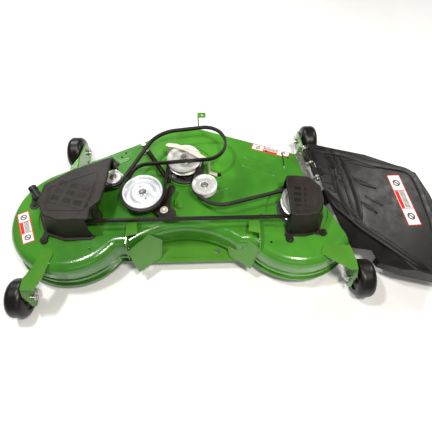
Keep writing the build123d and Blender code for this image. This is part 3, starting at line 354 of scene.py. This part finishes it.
def finish_for(name):
    if name == "deck_shell":
        return green
    if name.startswith(("rear_center", "lift_bracket", "front_hanger", "wheel_bracket", "idler_stop")):
        return green_plain
    if name.startswith("gauge_wheel"):
        return tyre
    if name in ("cover_left", "cover_right"):
        return cover_l if name == "cover_left" else cover_r
    if name == "chute_deflector":
        return chute
    if name == "drive_belt":
        return belt
    if name == "wash_port":
        return black_part
    if name in CENTRES:
        pale = name == "idler_big"
        return metal("turned_" + name, (0.66, 0.68, 0.70) if pale else (0.60, 0.60, 0.58),
                     (0.88, 0.90, 0.92) if pale else (0.86, 0.85, 0.82), 0.33, CENTRES[name], 0.25,
                     metallic=0.55)
    if name in ("center_guard", "arm_pivot"):
        return cream
    if name.startswith("blade_") and "bolt" not in name:
        return blade_steel
    if name.startswith("spindle_housing"):
        return cast
    if name in ("cover_screws", "guard_bolt"):
        return dark_bolt
    if name in ("idler_arm", "tension_spring", "torsion_spring"):
        return black_paint
    if "bearing" in name or name.startswith("shaft"):
        return steel
    return zinc


for name, obj in nodes.items():
    obj.data.materials.clear()
    obj.data.materials.append(finish_for(name))


# ---------------------------------------------------------------- mouldings on the chute
RIB_STEP = 0.012        # metres between the points of a rib
RIB_EASING = 3          # times its corners are eased
RIB_SINK = 0.1          # part of its rise that lies in the chute


def deselect():
    for o in bpy.context.selected_objects:
        o.select_set(False)


def surface_z(host, x, y):
    """Height of the host's top at a plan point, or None past its edge."""
    back = host.matrix_world.inverted()
    hit, place, _, _ = host.ray_cast(back @ Vector((x, y, 1.0)), back.to_3x3() @ Vector((0, 0, -1)))
    return (host.matrix_world @ place).z if hit else None


def swept(name, path, radii, material, section=None, wire=0.0):
    """Closed tube along the path; its section is another curve, or a round wire of that radius."""
    deselect()
    bpy.ops.curve.primitive_nurbs_path_add(location=(0, 0, 0))
    piece = bpy.context.active_object
    piece.name = name
    data = piece.data
    data.splines.clear()
    line = data.splines.new("POLY")
    line.points.add(len(path) - 1)
    for point, place, radius in zip(line.points, path, radii):
        point.co = (*place, 1.0)
        point.radius = radius
    data.dimensions = "3D"
    if section:
        data.twist_mode = "Z_UP"
        data.bevel_mode = "OBJECT"
        data.bevel_object = section
    else:
        data.bevel_depth = wire
        data.bevel_resolution = 1
    data.use_fill_caps = True
    bpy.ops.object.convert(target="MESH")
    bpy.ops.object.mode_set(mode="EDIT")
    bpy.ops.mesh.select_all(action="SELECT")
    bpy.ops.mesh.remove_doubles(threshold=0.00001)
    bpy.ops.mesh.normals_make_consistent(inside=False)
    bpy.ops.object.mode_set(mode="OBJECT")
    bpy.ops.object.shade_smooth()
    piece.data.materials.clear()
    piece.data.materials.append(material)
    return piece


def oval(half, rise):
    """Curve for a rib's section: half is half its width, rise half its height."""
    deselect()
    bpy.ops.curve.primitive_bezier_circle_add(radius=1.0, location=(0, 0, 0))
    section = bpy.context.active_object
    for p in section.data.splines[0].bezier_points:
        for part in ("co", "handle_left", "handle_right"):
            v = getattr(p, part)
            setattr(p, part, (v.x * half, v.y * rise, 0.0))
    return section


def rounded(points):
    """The points with others about RIB_STEP apart between them, and the corners eased."""
    path = []
    for p, q in zip(points, points[1:]):
        steps = max(2, int(math.hypot(q[0] - p[0], q[1] - p[1]) / RIB_STEP))
        path += [(p[0] + (q[0] - p[0]) * i / steps, p[1] + (q[1] - p[1]) * i / steps) for i in range(steps)]
    path.append(points[-1])
    for _ in range(RIB_EASING):
        inner = [((a[0] + 2 * b[0] + c[0]) / 4, (a[1] + 2 * b[1] + c[1]) / 4)
                 for a, b, c in zip(path, path[1:], path[2:])]
        path = [path[0], *inner, path[-1]]
    return path


def moulding(name, host, points, half, rise):
    """Low rounded rib swept along the points in plan, lying on the host's top and fading at both ends."""
    section = oval(half, rise)
    placed = [(x, y, surface_z(host, x, y)) for x, y in rounded(points)]
    placed = [(x, y, z - rise * RIB_SINK) for x, y, z in placed if z is not None]
    last = len(placed) - 1
    radii = [min(1.0, 0.25 + 0.25 * min(i, last - i)) for i in range(last + 1)]
    rib = swept(name, placed, radii, chute, section=section)
    bpy.data.objects.remove(section)
    return rib


ribs = []
for number, (points, half, rise) in enumerate(CHUTE_RIDGES):
    ribs.append(moulding("chute_rib_%02d" % number, nodes["chute_deflector"], points, half, rise))
deselect()
for rib in ribs:
    rib.select_set(True)
bpy.context.view_layer.objects.active = ribs[0]
bpy.ops.object.join()
ribs[0].name = "chute_ribs"
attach(ribs[0], "chute")


# ---------------------------------------------------------------- the tension spring's coil
SPRING_FROM = Vector((-0.046, 0.096, 0.2175))
SPRING_TO = Vector((-0.182, 0.322, 0.2175))
COIL_R = 0.0084
WIRE_R = 0.0016
COIL_PITCH = 0.0038
TURN_POINTS = 14
COIL_START = 0.026      # straight hooked wire before the coil
COIL_REST = 0.052       # straight wire and eye after it
EYE_R = 0.0092
EYE_POINTS = 19


def wound_spring():
    """Close-wound coil with a hooked pin at the arm and an eye round the stud."""
    axis = (SPRING_TO - SPRING_FROM).normalized()
    side = Vector((-axis.y, axis.x, 0.0))
    full = (SPRING_TO - SPRING_FROM).length
    first, last = COIL_START, full - COIL_REST
    steps = int((last - first) / COIL_PITCH) * TURN_POINTS
    path = [SPRING_FROM + Vector((0, 0, -0.008)), SPRING_FROM, SPRING_FROM + axis * (first - 0.004)]
    for i in range(steps + 1):
        ang = 2 * math.pi * i / TURN_POINTS
        path.append(SPRING_FROM + axis * (first + (last - first) * i / steps)
                    + side * (COIL_R * math.cos(ang)) + Vector((0, 0, COIL_R * math.sin(ang))))
    path.append(SPRING_FROM + axis * (last + 0.004))
    centre = SPRING_FROM + axis * (full - EYE_R)
    for i in range(EYE_POINTS):
        ang = math.pi + 2 * math.pi * i / EYE_POINTS
        path.append(centre + axis * (EYE_R * math.cos(ang)) + side * (EYE_R * math.sin(ang)))
    coil = swept("spring_coil", path, [1.0] * len(path), black_paint, wire=WIRE_R)
    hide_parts("tension_spring")
    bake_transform(coil)


wound_spring()


# ---------------------------------------------------------------- camera, lights and floor
CAMERA_PLACE = (0.1217, -0.7904, 1.5073)
CAMERA_ANGLES = (57.31, -1.91, 0.27)    # down, round and roll, in degrees
CAMERA_LENS = 32.62
CAMERA_SHIFT = (-0.0139, -0.0419)


def camera():
    data = bpy.data.cameras.new("Camera")
    cam = bpy.data.objects.new("Camera", data)
    bpy.context.scene.collection.objects.link(cam)
    el, az, roll = (math.radians(a) for a in CAMERA_ANGLES)
    fwd = Vector((-math.sin(az) * math.cos(el), math.cos(az) * math.cos(el), -math.sin(el)))
    right = Vector((math.cos(az), math.sin(az), 0))
    up = right.cross(fwd)
    r2 = right * math.cos(roll) + up * math.sin(roll)
    u2 = up * math.cos(roll) - right * math.sin(roll)
    m = Matrix((r2, u2, -fwd)).transposed().to_4x4()
    m.translation = Vector(CAMERA_PLACE)
    cam.matrix_world = m
    data.sensor_width = 36.0
    data.lens = CAMERA_LENS
    data.shift_x, data.shift_y = CAMERA_SHIFT
    data.clip_start = 0.01
    bpy.context.scene.camera = cam


def area(name, place, aim, size, power, colour=(1, 1, 1)):
    data = bpy.data.lights.new(name, "AREA")
    data.shape = "RECTANGLE"
    data.size, data.size_y = size
    data.energy = power
    data.color = colour
    lamp = bpy.data.objects.new(name, data)
    bpy.context.scene.collection.objects.link(lamp)
    lamp.location = place
    lamp.rotation_euler = (Vector(aim) - Vector(place)).to_track_quat("-Z", "Y").to_euler()


camera()
area("key", (0.75, -0.9, 2.9), (0.1, 0.1, 0.1), (0.45, 0.30), 60, (1.0, 0.95, 0.87))
area("lamp_left", (-0.9, 0.2, 2.9), (-0.4, 0.1, 0.1), (0.30, 0.22), 44)
area("window", (-1.3, 2.4, 2.1), (0.0, 0.1, 0.1), (1.1, 0.22), 40)
area("fill", (0.1, -2.6, 1.5), (0.1, 0.0, 0.1), (2.0, 0.7), 5)
area("rim", (2.5, 1.4, 2.2), (0.4, 0.0, 0.1), (0.3, 1.0), 30)

bpy.context.scene.view_settings.view_transform = "Standard"
world = bpy.data.worlds.new("World")
bpy.context.scene.world = world
world.use_nodes = True
sky = world.node_tree.nodes["Background"]
sky.inputs["Color"].default_value = (1.0, 0.96, 0.90, 1)
sky.inputs["Strength"].default_value = 0.17

bpy.ops.mesh.primitive_plane_add(size=14, location=(0, 0, -0.0005))
floor = bpy.context.active_object
floor.name = "floor"
pale_floor = Tree("pale_floor")
floor_colour = pale_floor.mix(pale_floor.span(pale_floor.noise(2.0, 3), 0.3, 0.7),
                              (0.80, 0.80, 0.79), (0.86, 0.86, 0.85))
pale_floor.set(Base_Color=floor_colour, Roughness=0.75,
               Emission_Color=(1.0, 1.0, 1.0), Emission_Strength=0.06)
floor.data.materials.append(pale_floor.mat)
